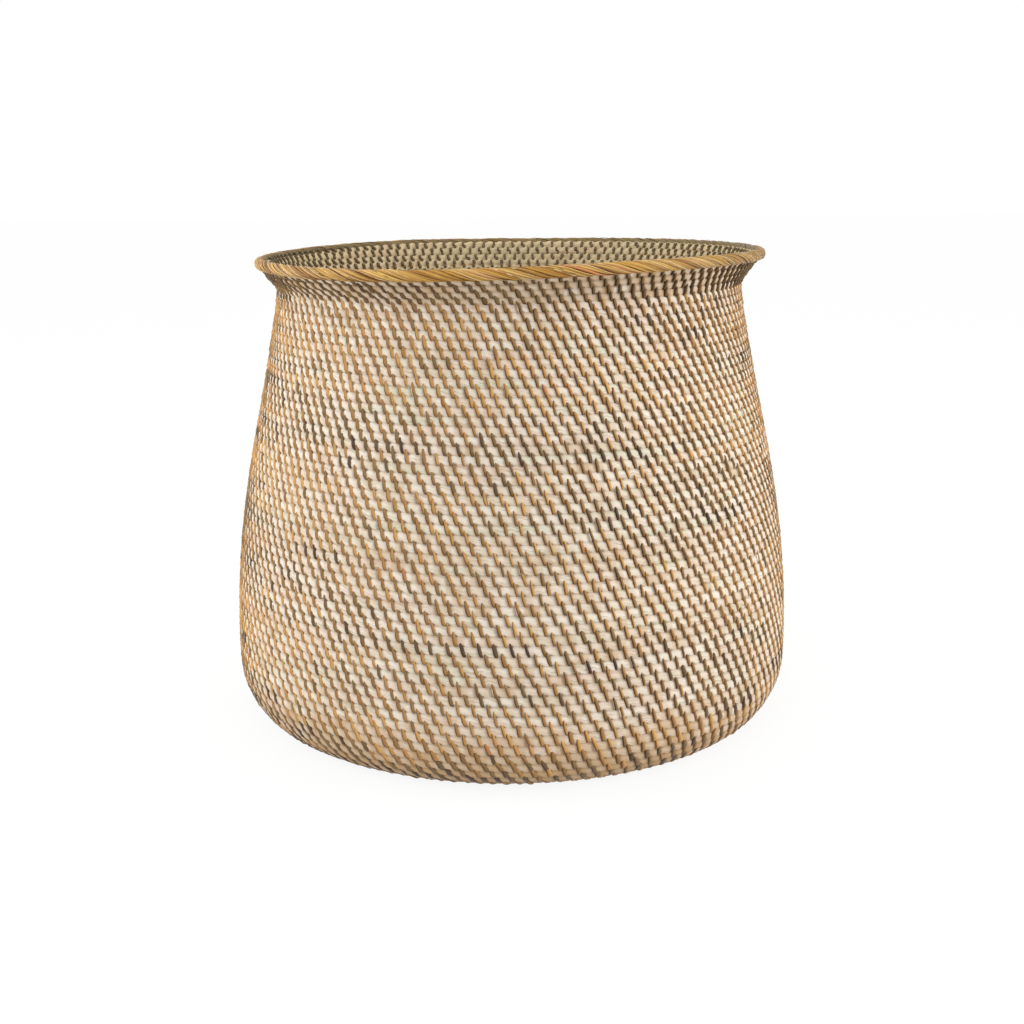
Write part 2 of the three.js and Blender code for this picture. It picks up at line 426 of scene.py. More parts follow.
def makeFibreGroup():  # fine streaks along a piece, and broader patches
    tree = bpy.data.node_groups.new("fibreStreaks", "ShaderNodeTree")
    socketIn(tree, "Coordinates", "NodeSocketVector")
    for name in ("Piece", "Along", "Around", "Contrast"):
        socketIn(tree, name, "NodeSocketFloat")
    for name in ("Streaks", "Patches"):
        tree.interface.new_socket(name=name, in_out="OUTPUT", socket_type="NodeSocketFloat")
    maker = NodeMaker(tree)
    source = tree.nodes.new("NodeGroupInput")
    output = tree.nodes.new("NodeGroupOutput")
    names = ("Along", "Around", "Around")
    sizes = maker.add("ShaderNodeCombineXYZ", {i: source.outputs[name] for i, name in enumerate(names)})
    place = maker.vector("MULTIPLY", source.outputs["Coordinates"], sizes.outputs[0])
    shared = {"W": source.outputs["Piece"], "Scale": 1.0}
    fine = maker.add("ShaderNodeTexNoise", {
        **shared, "Vector": place, "Detail": fibreNoise["detail"], "Roughness": fibreNoise["roughness"],
    }, noise_dimensions="4D")
    wide = maker.scale(place, fibreNoise["patchScale"])
    broad = maker.add("ShaderNodeTexNoise", {
        **shared, "Vector": wide, "Detail": fibreNoise["patchDetail"],
    }, noise_dimensions="4D")
    centred = maker.math("SUBTRACT", fine.outputs["Fac"], 0.5)
    streaks = maker.math("MULTIPLY_ADD", centred, source.outputs["Contrast"], 0.5)
    tree.links.new(maker.add("ShaderNodeClamp", {0: streaks}).outputs[0], output.inputs["Streaks"])
    tree.links.new(broad.outputs["Fac"], output.inputs["Patches"])
    return tree


fibreGroup = makeFibreGroup()


class Painter(NodeMaker):  # a material that reads a piece's own attributes
    def __init__(self, name, roughness, specular):
        self.material = bpy.data.materials.new(name)
        self.material.use_nodes = True
        super().__init__(self.material.node_tree)
        self.shader = self.tree.nodes["Principled BSDF"]
        self.shader.inputs["Roughness"].default_value = roughness
        self.shader.inputs["Specular IOR Level"].default_value = specular

    def value(self, name):
        return self.add("ShaderNodeAttribute", attribute_name=name).outputs["Fac"]

    def fibre(self, look):
        parts = {0: self.value("length"), 1: self.value("side"), 2: self.value("outer")}
        place = self.add("ShaderNodeCombineXYZ", parts).outputs[0]
        node = self.add("ShaderNodeGroup", node_tree=fibreGroup)
        self.tree.links.new(place, node.inputs["Coordinates"])
        self.tree.links.new(self.value("piece"), node.inputs["Piece"])
        for name in ("Along", "Around", "Contrast"):
            node.inputs[name].default_value = look[name.lower()]
        return node.outputs["Streaks"], node.outputs["Patches"]

    def mix(self, factor, a, b, blend="MIX"):
        inputs = {0: factor, 6: a, 7: b}
        return self.add("ShaderNodeMix", inputs, data_type="RGBA", blend_type=blend).outputs[2]

    def ramp(self, value, stops):
        node = self.add("ShaderNodeValToRGB", {0: value})
        elements = node.color_ramp.elements
        while len(elements) < len(stops):
            elements.new(0.5)
        for element, (position, colour) in zip(elements, stops):
            element.position = position
            element.color = colour
        return node.outputs["Color"]

    def between(self, value, low, high):  # 0 at low and 1 at high, which may be below low
        inputs = {"Value": value, "From Min": low, "From Max": high}
        return self.add("ShaderNodeMapRange", inputs, interpolation_type="SMOOTHSTEP").outputs["Result"]

    def finish(self, colour, height, strength, depth):
        self.tree.links.new(colour, self.shader.inputs["Base Color"])
        bump = self.add("ShaderNodeBump", {"Strength": strength, "Distance": depth, "Height": height})
        self.tree.links.new(bump.outputs[0], self.shader.inputs["Normal"])
        return self.material


def makeRattan(name, look):
    look = {**rattanLook, **look}
    paint = Painter(name, look["roughness"], look["specular"])
    streaks, patches = paint.fibre(look)
    colour = paint.ramp(streaks, [(look["grainAt"], look["grain"]), (look["paleAt"], look["pale"])])
    for tint in ("pink", "green"):
        share = paint.between(patches, *look[tint + "Patches"])
        colour = paint.mix(share, colour, paint.mix(1.0, colour, look[tint], "MULTIPLY"))
    # the stain colour, which round the collar also stands for painted shade under the rim's roll
    stain = paint.math("MULTIPLY", paint.value("tone"), look["stainShare"])
    stainedAndShaded = paint.mix(stain, colour, look["stain"])
    # painted shade in the dent on the left of each stitch, the rod's own and the one below, and painted
    # shade in the grooves between the courses
    side = paint.value("side")
    own, lower = (paint.between(paint.math("FRACT", paint.value(phase)), look["dentStart"], 1.0)
                  for phase in ("ownStitch", "lowerStitch"))
    lowDent = paint.math("MULTIPLY", lower, paint.between(side, *look["lowerSides"]))
    groove = paint.between(paint.math("ABSOLUTE", side), *look["grooveSides"])
    groove = paint.math("MULTIPLY", groove, look["grooveShare"])
    shade = paint.math("MAXIMUM", paint.math("MAXIMUM", own, lowDent), groove)
    shaded = paint.mix(paint.math("MULTIPLY", shade, look["dentShare"]), stainedAndShaded, look["dent"])
    within = paint.between(paint.value("outer"), *look["insideFaces"])
    shaded = paint.mix(within, shaded, paint.mix(1.0, colour, look["inside"], "MULTIPLY"))
    return paint.finish(shaded, streaks, *look["bump"])


def makeCane(name, look):
    look = {**caneLook, **look}
    paint = Painter(name, look["roughness"], look["specular"])
    streaks = paint.fibre(look)[0]
    colour = paint.ramp(paint.value("tone"), look["tones"])
    light = paint.math("MULTIPLY_ADD", streaks, look["streak"], 1.0 - look["streak"] * 0.5)
    streaked = paint.mix(1.0, colour, light, "MULTIPLY")
    # painted shade on the left edge of each stitch and a painted highlight on its right edge; where a
    # piece is lit, the painted shade is lifted and the painted highlight spreads to the left edge too
    side = paint.value("side")
    closed = paint.math("SUBTRACT", 1.0, paint.value("lit"))
    flankShade = paint.math("MULTIPLY", paint.between(side, *look["shadeSides"]), closed)
    shaded = paint.mix(flankShade, streaked, paint.mix(1.0, streaked, look["shade"], "MULTIPLY"))
    lit = paint.math("MULTIPLY", paint.between(side, *look["litSides"]), paint.value("lit"))
    sunny = paint.math("MAXIMUM", paint.between(side, *look["sunnySides"]), lit)
    shaded = paint.mix(sunny, shaded, paint.mix(1.0, shaded, look["flank"], "MULTIPLY"))
    # painted shade: faces inside the basket and the roll's inner side take the dark inside colour
    within = paint.math("MULTIPLY", paint.value("within"), look["insideShare"])
    return paint.finish(paint.mix(within, shaded, look["inside"]), streaks, *look["bump"])


# A tint has two numbers: where it starts and where it is full. For patches that is in the noise, for
# sides across the piece and for faces through the wall, both from -1 to 1. A bump has its strength
# and its depth.

rattanLook = {
    "roughness": 0.75,
    "specular": 0.2,
    "along": 60.0,
    "around": 5.0,
    "contrast": 1.8,
    "grainAt": 0.15,
    "paleAt": 0.45,
    "pinkPatches": (0.5, 0.72),
    "greenPatches": (0.5, 0.28),
    "stainShare": 0.5,
    "dentStart": 0.7,          # in stitches after the last one
    "dentShare": 0.75,
    "lowerSides": (-0.3, -0.6),
    "grooveSides": (0.25, 0.7),
    "grooveShare": 0.45,
    "insideFaces": (0.1, -0.2),
    "bump": (0.3, 0.0005),
}
wallRattan = makeRattan("wallRattan", {
    "pale": srgb(230, 219, 203),
    "grain": srgb(190, 172, 148),
    "stain": srgb(196, 164, 126),
    "pink": srgb(250, 240, 240),
    "green": srgb(236, 246, 238),
    # the painted shade colour in the dents and grooves
    "dent": srgb(128, 98, 62),
    "inside": srgb(230, 218, 188),
})
baseRattan = makeRattan("baseRattan", {
    "pale": srgb(206, 180, 146),
    "grain": srgb(168, 138, 100),
    "stain": srgb(158, 124, 82),
    "pink": srgb(250, 236, 228),
    "green": srgb(240, 246, 232),
    # the painted shade colour in the dents and grooves
    "dent": srgb(110, 78, 44),
    "inside": srgb(252, 246, 228),
})

caneLook = {
    "roughness": 0.5,
    "specular": 0.35,
    "litSides": (0.1, 0.7),
    "sunnySides": (-0.2, -0.8),
    "flank": (1.0, 1.0, 1.0, 1.0),
    "insideShare": 0.85,
    "bump": (0.25, 0.0004),
}
bindingCane = makeCane("bindingCane", {
    "tones": [
        (0.0, srgb(74, 50, 30)),
        (0.25, srgb(122, 94, 50)),
        (0.5, srgb(158, 114, 58)),
        (0.75, srgb(194, 146, 76)),
        (1.0, srgb(176, 118, 66)),
    ],
    "along": 120.0,
    "around": 4.0,
    "contrast": 2.0,
    "streak": 0.6,
    # painted shade on the left edge of each stitch
    "shade": srgb(140, 120, 94),
    "shadeSides": (0.05, 0.7),
    # painted highlight on the right edge of each stitch
    "flank": (1.34, 1.46, 1.95, 1.0),
    # the painted shade colour of stitches inside the basket
    "inside": srgb(104, 88, 58),
})
rimCane = makeCane("rimCane", {
    "tones": [
        (0.0, srgb(122, 76, 30)),
        (0.3, srgb(170, 120, 48)),
        (0.6, srgb(195, 149, 64)),
        (0.85, srgb(212, 176, 104)),
        (1.0, srgb(196, 128, 74)),
    ],
    "roughness": 0.45,
    "along": 24.0,
    "around": 6.0,
    "contrast": 2.6,
    "streak": 0.9,
    # painted shade on one edge of each strand, for the dark lines between strands
    "shade": srgb(150, 116, 80),
    "shadeSides": (0.5, 0.95),
    # the painted shade colour of the roll's inner and right-hand side
    "inside": srgb(108, 94, 60),
})
fibreCane = makeCane("fibreCane", {
    "tones": [(0.0, srgb(96, 62, 28)), (0.5, srgb(196, 150, 84)), (1.0, srgb(240, 214, 168))],
    "along": 60.0,
    "around": 1.0,
    "contrast": 1.0,
    "streak": 0.3,
    # a faint painted shade on one edge of each sliver
    "shade": srgb(220, 210, 190),
    "shadeSides": (0.5, 0.9),
    "inside": srgb(140, 122, 90),
})
print("materials made")


# The coil's rods, one piece for each rod of the CAD model

rodTone = {                    # 0 is freshly whitewashed, and 2 is the darkest tone; round the collar part of the added tone is painted shade
    "least": 0.2,
    "spread": 0.35,
    "waves": [(0.15, 2.1, 1), (0.1, 7.3, 0)],  # with radians a metre, and whether rods differ in phase
    "beadSpread": 0.3,         # between the rod's stretches from stitch to stitch
    "heel": 1.5,
    "heelHeights": (0.008, 0.07),
    # darker round the collar: partly less whitewash, partly painted shade from the rim's roll
    "collar": 0.7,
    "collarRun": 0.006,
    "most": 2.0,
}


def turnsReaching(distance):
    return float(np.interp(distance, reach(turnTable), turnTable))


def rodSpans():
    tipEdge = coil["knotRadius"] + coil["gap"] + coil["tipWidth"]
    tip = float(np.interp(tipEdge, reach(turnTable + 0.5), turnTable))
    cuts = [tip, turnsReaching(baseEnd), turnsReaching(wallEnd), lastTurn - coil["endMargin"]]
    spans = {}
    for prefix, start, end in zip(("base_rod", "wall_rod", "collar_rod"), cuts[:-1], cuts[1:]):
        names = sorted(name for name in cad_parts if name.startswith(prefix))
        lengths = np.linspace(lengthAt(start), lengthAt(end), len(names) + 1)
        ends = np.interp(lengths, lengthTable, turnTable).tolist()
        spans.update(zip(names, zip(ends[:-1], ends[1:])))
    return spans


def makeRod(name, first, last, order):
    isBase = name.startswith("base")
    rings = coil["ringsPerBaseStitch" if isBase else "ringsPerStitch"]
    steps = math.ceil(stitchCount(first) * rings), math.floor(stitchCount(last) * rings) + 1
    counts = np.arange(*steps) / rings
    turn = np.unique(np.concatenate([[first], turnOfStitch(counts), [last]]))
    low, high = lowerEdge(turn), upperEdge(turn)
    half = (high - low) / 2
    taper = np.clip(2 * half / courseAt(turn), coil["leastTaper"], 1)
    centre, up, out = placeOnWall((low + high) / 2, -lipShift(turn), turn)
    length = lengthAt(turn)
    rng = np.random.default_rng(coil["seed"] + order)
    tone = rodTone["least"] + rodTone["spread"] * rng.random()
    for size, rate, phase in rodTone["waves"]:
        tone = tone + size * np.sin(length * rate + order * phase)
    beads = np.floor(stitchCount(turn) - 0.5).astype(int)
    tone += rng.normal(0, rodTone["beadSpread"], np.ptp(beads) + 1)[beads - beads[0]]
    if not isBase:
        tone += rodTone["heel"] * (1 - ease(centre[:, 2], *rodTone["heelHeights"]))
        tone += rodTone["collar"] * ease(reach(turn), wallEnd, rodTone["collarRun"])
    across = up * (half * coil["fullness"])[:, None]
    outward = out * (coil["rodDepth"] / 2 * taper)[:, None]
    piece = spineObject("rattan_" + name, centre[None], across[None], outward[None], {
        "ownPhase": stitchCount(turn)[None],
        "lowerPhase": stitchCount(np.maximum(turn - 1, 0))[None],
        "length": length[None],
        "piece": np.full((1, len(turn)), order * coil["grainStep"]),
        "tone": np.clip(tone, 0, rodTone["most"])[None],
    })
    material = baseRattan if isBase else wallRattan
    return growMesh(piece, rodTree, {"Sides": coil["sides"], "Material": material})


# Stitches of split cane. Each crosses its own course outside and goes back through the wall inside.

stitch = {
    "width": 0.0028,
    "thickness": 0.0020,
    "lean": 0.27,              # how far a stitch runs along the coil as it drops by its own height
    "heights": [-0.60, -0.38, -0.02, 0.40, 0.78, 1.04],    # in courses, from its rod's centre
    "lifts": [0.0013, 0.0027, 0.0036, 0.0032, 0.0034, 0.0026],
    "widths": [0.5, 0.95, 1.05, 0.95, 0.65, 0.2],
    "thickening": 1.5,         # thickness grows this much faster than width, until it is full
    "leastThickness": 0.4,
    "firstTurn": 0.9,
    "leastRadius": 0.006,
    "leastReach": 0.0005,
    "neckWidth": 1.1,          # wider towards the neck, and thicker round the collar
    "neckRange": (-0.10, 0.10),
    "collarThickness": 1.4,
    "collarRange": (-0.004, 0.01),
    "collarTone": (0.16, 0.4),
    "heelWidth": 1.65,         # wider, flatter and leaning more round the heel
    "heelThickness": 0.8,
    "heelLean": 1.5,
    "heelPress": 0.0002,
    "heelRange": (-0.03, 0.03),
    "heelHeights": (0.018, 0.045),
    "heelTone": (-0.17, 0.4),
    "rightPress": 0.0005,      # on the right the stitches lie deeper, and both their edges take the painted highlight in place of the painted shade
    "pressRange": (0.7, 0.3),
    "rightLit": 0.75,
    "litRange": (0.35, 0.5),
    # round the collar less of the painted shade is lifted
    "collarUnlit": 0.6,
    "uneven": {"place": 0.055, "lean": 0.2, "width": 0.14, "ends": 0.11, "lift": 0.05, "bow": 0.00035},
    "grainLength": 0.015,      # how long a stitch's own grain is, and how far on the next one's starts
    "grainSpacing": 0.04,
    "grainStep": 1.3,
    "within": 0.0,
    "sides": 6,
    "seed": 5,
}
backStitches = {               # inside, each stitch shows on its rod and again in the groove above
    "heights": [[-0.34, -0.20, 0.12, 0.26], [0.24, 0.38, 0.64, 0.78]],
    "lifts": [[-0.0032, -0.0042, -0.0043, -0.0034], [-0.0030, -0.0041, -0.0041, -0.0032]],
    "widths": [0.7, 1.1, 1.1, 0.7],
    "slides": [0.0, 0.5],      # in stitches
    # inside the basket the stitches take the cane's dark inside colour, a painted shade
    "within": 0.9,
    "sides": 4,
}
stitchTone = {                 # 0 is the darkest cane, and 1 the reddest
    "middle": 0.5,
    "wave": (0.1, 2, 0.35),    # its size, waves a turn and slant
    "noise": 0.12,
    "runs": {"plain": 0.9, "dark": 0.06, "red": 0.04},     # how often each kind of cane is taken
    "lengths": {"plain": (3, 24), "dark": (2, 7), "red": (2, 7)},
    "shifts": {"dark": -0.36, "red": 0.4},
    "plainShift": 0.1,
}


def pickTones(turn, rng):  # stitches made with one length of cane are about one colour
    size, waves, slant = stitchTone["wave"]
    tones = stitchTone["middle"] + size * np.sin(waves * angleAt(turn) + slant * turn)
    tones += rng.normal(0, stitchTone["noise"], len(turn))
    start = 0
    while start < len(turn):
        kind = rng.choice(list(stitchTone["runs"]), p=list(stitchTone["runs"].values()))
        run = int(rng.integers(*stitchTone["lengths"][kind]))
        plainShift = rng.normal(0, stitchTone["plainShift"])
        tones[start:start + run] += stitchTone["shifts"].get(kind, plainShift)
        start += run
    return np.clip(tones, 0, 1)


def acrossOf(tangent, outward):
    across = np.cross(outward, tangent)
    return across / np.maximum(np.linalg.norm(across, axis=-1, keepdims=True), 1e-9)


def stitchSpines(numbers, heights, lifts, slides):
    # Points of stitches, by number along the coil, and their ways out of the wall. Heights are in
    # courses, and slides in metres along the coil.
    turn = turnOfStitch(numbers)[:, None]
    radius = onOutline(reach(turn))[0][..., 0]
    moved = turn + slides / (2 * math.pi * np.maximum(radius, stitch["leastRadius"]))
    distance = np.maximum(reach(moved) + heights * courseAt(turn), stitch["leastReach"])
    edge = upperEdge(np.minimum(moved, lastTurn))
    distance = np.where(moved > lastTurn - 1, np.minimum(distance, edge), distance)
    spine, _, out = placeOnWall(distance, lifts - lipShift(moved, heights), moved)
    return spine, out


def makeStitches(name, first, last, order):
    rng = np.random.default_rng(stitch["seed"] + order)
    numbers = np.arange(math.ceil(stitchCount(first)), math.ceil(stitchCount(last)), dtype=float)
    numbers = numbers[turnOfStitch(numbers) > stitch["firstTurn"]]
    count = len(numbers)
    if count == 0:
        return []
    turn = turnOfStitch(numbers)
    tones = pickTones(turn, rng)
    step = turnOfStitch(numbers + 0.5) - turnOfStitch(numbers - 0.5)
    place = onOutline(reach(turn))[0]
    spacing = (2 * math.pi * place[:, 0] * step)[:, None]
    uneven = {key: rng.normal(0, spread, (count, 1)) for key, spread in stitch["uneven"].items()}
    numbers += uneven["place"][:, 0]
    course = courseAt(turn)[:, None]
    collar = ease(reach(turn) - wallEnd, *stitch["collarRange"])[:, None]
    neck = ease(reach(turn) - wallEnd, *stitch["neckRange"])[:, None]
    heel = 1 - ease(place[:, 1], *stitch["heelHeights"])[:, None]
    heel *= ease(reach(turn) - baseEnd, *stitch["heelRange"])[:, None]

    def scaled(value, share, size):
        return value * (1 + (stitch[size] - 1) * share)

    def faded(tones, region):
        middle, contrast = stitch[region + "Tone"]
        return middle + contrast * (tones - stitchTone["middle"])

    lean = scaled(stitch["lean"] * (1 + uneven["lean"]), heel, "heelLean")
    width = scaled(stitch["width"] * (1 + uneven["width"]), neck, "neckWidth")
    width = scaled(width, heel, "heelWidth")
    thickness = scaled(scaled(stitch["thickness"], collar, "collarThickness"), heel, "heelThickness")
    tones += (faded(tones, "collar") - tones) * collar[:, 0] + faded(tones, "heel") * heel[:, 0]
    eastward = np.cos(angleAt(turn))
    # how far the painted shade on the stitches' left edges is lifted: most on the right of the basket,
    # less round the collar
    lit = stitch["rightLit"] * ease(eastward, *stitch["litRange"])
    lit *= 1 - stitch["collarUnlit"] * collar[:, 0]

    heights = np.array(stitch["heights"])[None] + np.zeros((count, 1))
    heights[:, -2:] += uneven["ends"]
    everyOne = np.arange(count)
    lifts = np.array(stitch["lifts"])[None] * (1 + uneven["lift"]) - stitch["heelPress"] * heel
    lifts -= stitch["rightPress"] * ease(eastward, *stitch["pressRange"])[:, None]
    slides = uneven["bow"] * (1 - heights ** 2) - lean * heights * course
    spine, out = stitchSpines(numbers, heights, lifts, slides)
    spine[..., 2] = np.maximum(spine[..., 2], stitch["thickness"] / 2)  # pressed flat by the floor
    fronts = [(everyOne, spine, out)]
    backs = []
    for heights, lifts, slide in zip(*(backStitches[key] for key in ("heights", "lifts", "slides"))):
        kept = everyOne if slide == 0 else np.flatnonzero(turn < lastTurn - 1)
        heights, lifts = np.array(heights)[None], np.array(lifts)[None]
        spine, out = stitchSpines(numbers[kept], heights, lifts, spacing[kept] * slide)
        backs.append((kept, spine, -out))

    pieces = []
    for prefix, parts, look in (("cane_", fronts, stitch), ("cane_back_", backs, backStitches)):
        which, spine, out = (np.concatenate(part) for part in zip(*parts))
        ones = np.ones(spine.shape[:2])
        widths = np.array(look["widths"])[None]
        across = acrossOf(np.gradient(spine, axis=1), out) * (widths * width[which] / 2)[..., None]
        full = np.clip(widths * stitch["thickening"], stitch["leastThickness"], 1)
        outward = out * (thickness[which] / 2 * full)[..., None]
        grain = np.linspace(0, stitch["grainLength"], spine.shape[1])[None]
        piece = spineObject(prefix + name.replace("rod", "stitches"), spine, across, outward, {
            "length": grain + numbers[which, None] * stitch["grainSpacing"],
            "piece": ones * order * stitch["grainStep"],
            "tone": tones[which, None] * ones,
            "lit": lit[which, None] * ones,
            "within": ones * look["within"],
        })
        pieces.append(growMesh(piece, stripTree, {"Sides": look["sides"], "Material": bindingCane}))
    return pieces


# Rim: strands of cane laid round the hoop, with stray fibres on them

rim = {
    "radius": 0.0046,
    "length": 1.35,
    "strands": 20,
    "twists": 18,              # times a strand goes round the hoop on its way round the rim
    "points": 480,
    "width": 0.0021,
    "thickness": 0.0016,
    "wander": [(3, 0.12), (7, 0.09), (16, 0.05)],      # how often round the rim, and by how much
    "rise": [(5, 0.0002), (13, 0.0002)],
    "narrowing": [(9, 0.14)],
    "tones": (0.15, 0.85),
    "toneWaves": [(3, 0.25)],
    "toneShift": 0.05,
    "sideTone": -0.2,
    # the roll's inner side takes the cane's dark inside colour, a painted shade
    "innerFaces": (-0.2, 0.7),
    "greyed": 0.4,             # how much painted shade the right-hand side of the roll takes, in its inner side's colour
    "greySides": (0.3, 0.6),
    "firstGrain": 40,
    "grainStep": 2.3,
    "sides": 6,
    "seed": 3,
}
hoop = {
    "seat": 0.0026,            # the height of its centre above the last course
    "radius": 0.00348,
    # dark, so that the hoop seen between the strands shows as painted shade
    "tone": 0.1,
    "grain": 90,
    "sides": 8,
}


def hoopFrame(turn):  # the hoop's centre with its way up and out, seated on the coil's upper edge
    distance = upperEdge(turn) + hoop["seat"] + coil["gap"]
    return placeOnWall(distance, np.zeros_like(turn), turn)


def laidStrand(share, roll, lift):
    # A strand at shares of the way round the rim, rolled round the hoop by an angle
    turn = lastTurn - 1 + np.mod(share, 1.0)
    centre, up, out = hoopFrame(turn)
    way = out * np.cos(roll)[:, None] - up * np.sin(roll)[:, None]
    angle = angleAt(turn)
    # painted shade on the roll's inner side and on its right-hand side
    inward = -(way[:, 0] * np.cos(angle) + way[:, 1] * np.sin(angle))
    grey = rim["greyed"] * ease(np.cos(angle), *rim["greySides"])
    within = np.maximum(ease(inward, *rim["innerFaces"]), grey)
    return centre + way * np.asarray(lift)[..., None], way, within


def strandPiece(name, rows, isLoop, inputs):
    keys = ("spine", "across", "outward", "length", "piece", "tone", "within")
    columns = {key: np.array([row[index] for row in rows]) for index, key in enumerate(keys)}
    main = [columns.pop(key) for key in keys[:3]]
    return growMesh(spineObject(name, *main, columns, isLoop), stripTree, inputs)


def makeRim():
    rng = np.random.default_rng(rim["seed"])
    count = rim["points"]
    share = np.arange(count) / count

    def ripples(key):
        turned = ((size, 2 * math.pi * (waves * share + rng.random())) for waves, size in rim[key])
        return sum(size * np.sin(angle) for size, angle in turned)

    rows = []
    for strand in range(rim["strands"]):
        wander, rise = ripples("wander"), ripples("rise")
        roll = 2 * math.pi * (strand / rim["strands"] + rim["twists"] * share) + wander
        spine, way, within = laidStrand(share, roll, rim["radius"] - rim["thickness"] / 2 + rise)
        tangent = np.roll(spine, -1, axis=0) - np.roll(spine, 1, axis=0)
        across = acrossOf(tangent, way) * (rim["width"] / 2 * (1 + ripples("narrowing")))[:, None]
        tone = rng.uniform(*rim["tones"]) + ripples("toneWaves")
        tone += rim["toneShift"] + rim["sideTone"] * np.cos(angleAt(lastTurn - 1 + share)) ** 2
        grain = np.full(count, rim["firstGrain"] + strand * rim["grainStep"])
        rows.append((spine, across, way * rim["thickness"] / 2, share * rim["length"],
                     grain, np.clip(tone, 0, 1), within))
    return strandPiece("cane_rim", rows, True, {"Sides": rim["sides"], "Material": rimCane})


fibre = {                      # a sliver of cane that has lifted from the strands
    "count": 150,
    "points": 12,
    "width": 0.0006,
    "tip": 0.06,
    "lengths": (0.04, 0.13),
    "skew": 1.6,               # in twists more or fewer than a strand's
    "lift": 0.0003,
    # the palest slivers, tone 1.0, are real cane and also stand for glints along the strands, a painted
    # highlight
    "tones": {0.0: 0.35, 0.7: 0.2, 1.0: 0.45},         # and how often each is taken
    "grainStep": 0.7,
    "sides": 4,
}


def makeFibres():
    rng = np.random.default_rng(rim["seed"] + 1)
    count = fibre["points"]
    along = np.linspace(0, 1, count)
    bulge = np.sin(math.pi * np.clip(along, fibre["tip"], 1 - fibre["tip"]))
    thin = bulge[:, None] * fibre["width"] / 2
    lift = rim["radius"] + fibre["lift"] * np.sin(math.pi * along)
    rows = []
    for number in range(fibre["count"]):
        share = rng.random() + along * rng.uniform(*fibre["lengths"]) / rim["length"]
        twists = rng.random() + (rim["twists"] + rng.normal(0, fibre["skew"])) * (share - share[0])
        spine, way, within = laidStrand(share, 2 * math.pi * twists, lift)
        across = acrossOf(np.gradient(spine, axis=0), way) * thin
        tone = rng.choice(list(fibre["tones"]), p=list(fibre["tones"].values()))
        rows.append((spine, across, way * thin, share * rim["length"],
                     np.full(count, number * fibre["grainStep"]), np.full(count, tone), within))
    return strandPiece("cane_rim_fibres", rows, False, {"Sides": fibre["sides"], "Material": fibreCane})


def makeHoop():
    share = np.arange(rim["points"]) / rim["points"]
    centre, up, out = hoopFrame(lastTurn - 1 + share)
    none = np.zeros_like(share)
    rows = [(centre, up * hoop["radius"], out * hoop["radius"], share * rim["length"],
             none + hoop["grain"], none + hoop["tone"], none)]
    return strandPiece("rattan_hoop", rows, True, {"Sides": hoop["sides"], "Material": rimCane})


knot = {                       # a few turns of cane round the eye of the coil, with a strand across it
    "radius": 0.0034,
    "growth": (0.12, 1.24),    # the share of the radius at the start, and how fast it grows
    "rise": 0.0028,
    "passes": 3,               # times the cane goes from one face to the other
    "turns": 3.5,
    "points": 90,
    "width": 0.0026,
    "thickness": 0.0014,
    "length": 0.06,
    "crossLength": 0.006,
    "crossings": [(-1, 0.4), (1, 1.9)],                # below and above, each with its angle
    "tone": 0.5,
    "crossTone": 0.4,
    "grain": 7,
    "crossGrain": 8,
    "sides": 6,
}


def makeKnot():
    share = np.linspace(0, 1, knot["points"])
    none = np.zeros_like(share)
    upward = np.array((0, 0, 1))
    angle = 2 * math.pi * knot["turns"] * share
    height = outline["floor"] + knot["rise"] * np.cos(math.pi * share * knot["passes"])
    outward = np.stack([np.cos(angle), np.sin(angle), none], -1)
    start, growth = knot["growth"]
    radius = knot["radius"] * np.minimum(start + growth * share, 1)
    spine = outward * radius[:, None] + upward * height[:, None]
    across = upward * np.full((knot["points"], 1), knot["width"] / 2)
    rows = [(spine, across, outward * knot["thickness"] / 2, share * knot["length"],
             none + knot["grain"], none + knot["tone"], none)]
    for face, way in knot["crossings"]:
        along = np.array((math.cos(way), math.sin(way), 0.0))
        spine = along * (knot["radius"] * (2 * share - 1))[:, None]
        spine[:, 2] = outline["floor"] + face * knot["rise"]
        outward = np.zeros_like(spine) + (0, 0, face * knot["thickness"] / 2)
        across = np.zeros_like(spine) + np.cross((0, 0, face), along) * knot["width"] / 2
        rows.append((spine, across, outward, share * knot["crossLength"],
                     none + knot["crossGrain"] + face, none + knot["crossTone"], none))
    return strandPiece("cane_knot", rows, False, {"Sides": knot["sides"], "Material": bindingCane})


def setPiece(piece, nodes=()):
    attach(piece, "root")
    if nodes:
        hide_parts(*nodes)


for order, (name, (first, last)) in enumerate(rodSpans().items()):
    setPiece(makeRod(name, first, last, order), [name])
    for piece in makeStitches(name, first, last, order):
        setPiece(piece)
print("coil made: about", int(countTable[-1]), "stitches")

setPiece(makeRim(), ["rim_sleeve"])
setPiece(makeFibres())
setPiece(makeHoop(), ["rim_hoop"])
setPiece(makeKnot(), ["start_knot"])
print("rim and knot made")


# Floor, light and camera

studio = {
    "floorSize": 30.0,
    "floorRoughness": 0.9,
    "floorBounce": 0.75,       # the floor's colour as it lights the basket
    "floorGlow": 0.9,          # share of the floor that stays white whatever falls on it
    "worldStrength": 0.9,
}

lamps = {
    "keyLamp": {"place": (-0.3, -1.7, 2.1), "target": (0, 0, 0.25), "size": 1.4, "power": 10.5},
    "leftLamp": {"place": (-2.2, 0.0, 0.9), "target": (0, 0, 0.2), "size": 1.2, "power": 21.0},
    "rightLamp": {"place": (2.2, -0.4, 0.9), "target": (0, 0, 0.2), "size": 1.2, "power": 21.0},
}

camera = {
    "lens": 48.75,
    "sensor": 36.0,
    "place": (0.0, -1.23861, 0.47014),
    "pitch": math.radians(90 - 13.65),
    "roll": math.radians(-0.45),
    "shiftX": 0.00073,
}


def seenDirectly(maker):  # 1 for what the camera sees itself, in a mirror or through glass
    path = maker.add("ShaderNodeLightPath")
    seen = maker.math("MAXIMUM", path.outputs["Is Camera Ray"], path.outputs["Is Glossy Ray"])
    return maker.math("MAXIMUM", seen, path.outputs["Is Transmission Ray"])


